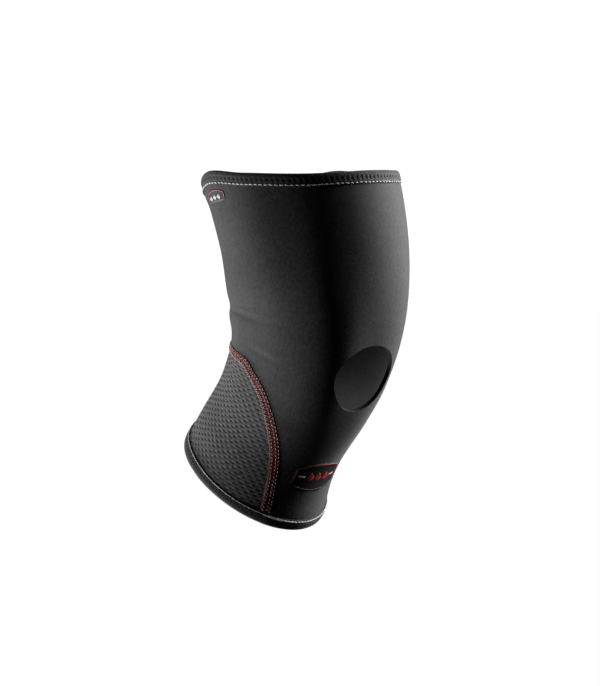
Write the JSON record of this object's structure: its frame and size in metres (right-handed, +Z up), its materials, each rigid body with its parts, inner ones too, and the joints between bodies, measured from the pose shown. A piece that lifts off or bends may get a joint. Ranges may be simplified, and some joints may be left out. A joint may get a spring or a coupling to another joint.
{
  "type": "open patella knee sleeve",
  "caption": "Pull-on neoprene knee sleeve in its worn, slightly bent shape, with an oval kneecap opening and a mesh panel behind knee and calf.",
  "frame": {"origin": "middle of the knee on the leg's own middle line, level with the kneecap opening", "axes": "+Z up along the standing leg, the kneecap opening faces -Y, X across the knee"},
  "size_m": [0.1472, 0.187, 0.2802],
  "materials": {
    "neoprene": "matt nylon-faced neoprene, charcoal",
    "spacer_mesh": "open spacer knit, dark grey",
    "binding": "folded knit binding, black",
    "seam_thread": "red flat seam stitching",
    "transfer": "thin heat transfer, red on black"
  },
  "bodies": {
    "root": {"neoprene_body": "neoprene", "mesh_back_panel": "spacer_mesh", "top_binding": "binding", "bottom_binding": "binding", "seam_band": "seam_thread", "shin_badge": "transfer", "thigh_badge": "transfer"}
  },
  "joints": []
}
